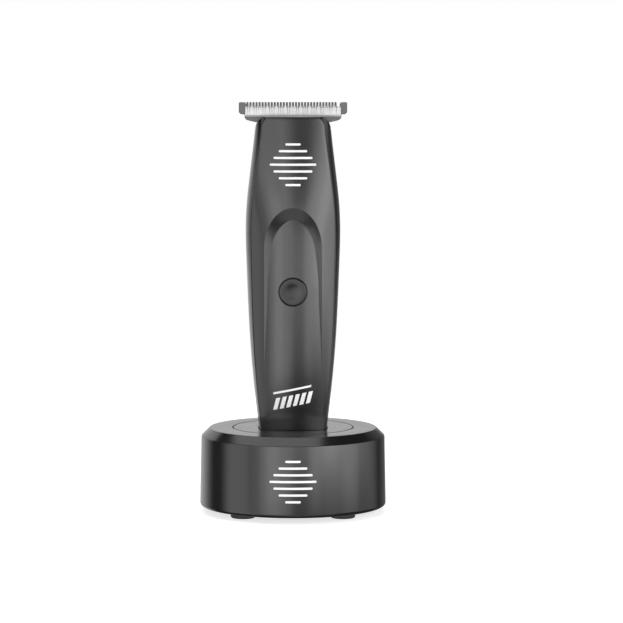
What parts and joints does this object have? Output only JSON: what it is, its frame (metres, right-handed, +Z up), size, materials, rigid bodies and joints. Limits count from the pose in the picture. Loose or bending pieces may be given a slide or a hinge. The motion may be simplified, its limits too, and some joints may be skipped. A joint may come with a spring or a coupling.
{
  "type": "cordless hair trimmer with charging base",
  "caption": "Slim cordless T-blade hair trimmer standing upright in a round chamfered charging base; thumb recess and round power button on its face.",
  "frame": {"origin": "centre of the plane on which the base's rubber feet stand", "axes": "+Z up along the standing trimmer; the face with the power button looks along -Y; +X runs along the blade's width"},
  "size_m": [0.069, 0.069, 0.1517],
  "materials": {
    "housing": "satin, fine moulded texture",
    "base_body": "satin gloss",
    "button": "satin",
    "blade_black": "dark ceramic-look coating",
    "cutter_steel": "fine ground",
    "foot_rubber": "matte",
    "inner_plastic": "natural moulded",
    "pale_plastic": "natural moulded",
    "steel": "zinc plated",
    "spring_steel": "drawn wire",
    "brass": "plated contact",
    "circuit_board": "solder mask",
    "chip": "moulded epoxy",
    "cell_sleeve": "shrink sleeve",
    "magnet": "sintered ferrite",
    "bronze": "sintered bronze"
  },
  "bodies": {
    "base": {"base_shell": "base_body", "base_cradle": "base_body", "base_bottom_plate": "base_body", "foot_front_left": "foot_rubber", "foot_front_right": "foot_rubber", "foot_rear_left": "foot_rubber", "foot_rear_right": "foot_rubber", "base_screws": "steel", "ballast_plate": "steel", "base_circuit_board": "circuit_board", "base_board_screws": "steel", "base_capacitor": "chip", "base_regulator": "chip", "contact_block": "pale_plastic", "power_inlet": "inner_plastic", "inlet_terminals": "brass", "contact_spring_left": "spring_steel", "contact_spring_right": "spring_steel"},
    "contact_pin_left": {"contact_pin_left": "brass"},
    "contact_pin_right": {"contact_pin_right": "brass"},
    "handset": {"rear_housing": "housing", "front_housing": "housing", "housing_screws": "steel", "charge_contact_left": "brass", "charge_contact_right": "brass", "charge_contact_board": "circuit_board", "battery_cell": "cell_sleeve", "battery_tab_lower": "steel", "battery_tab_upper": "steel", "inner_frame": "inner_plastic", "main_circuit_board": "circuit_board", "board_screws": "steel", "tactile_switch": "chip", "motor_can": "steel", "motor_end_cap": "pale_plastic", "motor_bearing_front": "bronze", "motor_bearing_rear": "bronze", "motor_magnet_left": "magnet", "motor_magnet_right": "magnet", "motor_mount": "inner_plastic", "motor_screws": "steel", "fixed_blade": "blade_black", "head_bracket": "inner_plastic", "blade_spring": "spring_steel", "blade_screws": "steel"},
    "button": {"power_button": "button"},
    "cutter": {"moving_cutter": "cutter_steel", "cutter_carrier": "pale_plastic"},
    "rotor": {"motor_shaft": "steel", "armature": "steel", "commutator": "brass", "eccentric_cam": "pale_plastic"}
  },
  "joints": [
    {"name": "handset_lift", "type": "slide", "parent": "base", "child": "handset", "axis": [0, 0, 1], "range_m": [0, 0.045]},
    {"name": "button_press", "type": "slide", "parent": "handset", "child": "button", "axis": [0, 1, 0], "range_m": [0, 0.0006], "stiffness_N_per_m": 2000, "springref_m": -0.0002},
    {"name": "cutter_slide", "type": "slide", "parent": "handset", "child": "cutter", "axis": [1, 0, 0], "range_m": [-0.0011, 0.0011]},
    {"name": "motor_spin", "type": "hinge", "parent": "handset", "child": "rotor", "pos_m": [0, 0.001, 0.1], "axis": [0, 0, 1], "continuous": true},
    {"name": "contact_press_left", "type": "slide", "parent": "base", "child": "contact_pin_left", "axis": [0, 0, 1], "range_m": [-0.0008, 0], "stiffness_N_per_m": 300, "springref_m": 0.0002, "deforming": ["contact_spring_left"]},
    {"name": "contact_press_right", "type": "slide", "parent": "base", "child": "contact_pin_right", "axis": [0, 0, 1], "range_m": [-0.0008, 0], "stiffness_N_per_m": 300, "springref_m": 0.0002, "deforming": ["contact_spring_right"]}
  ]
}
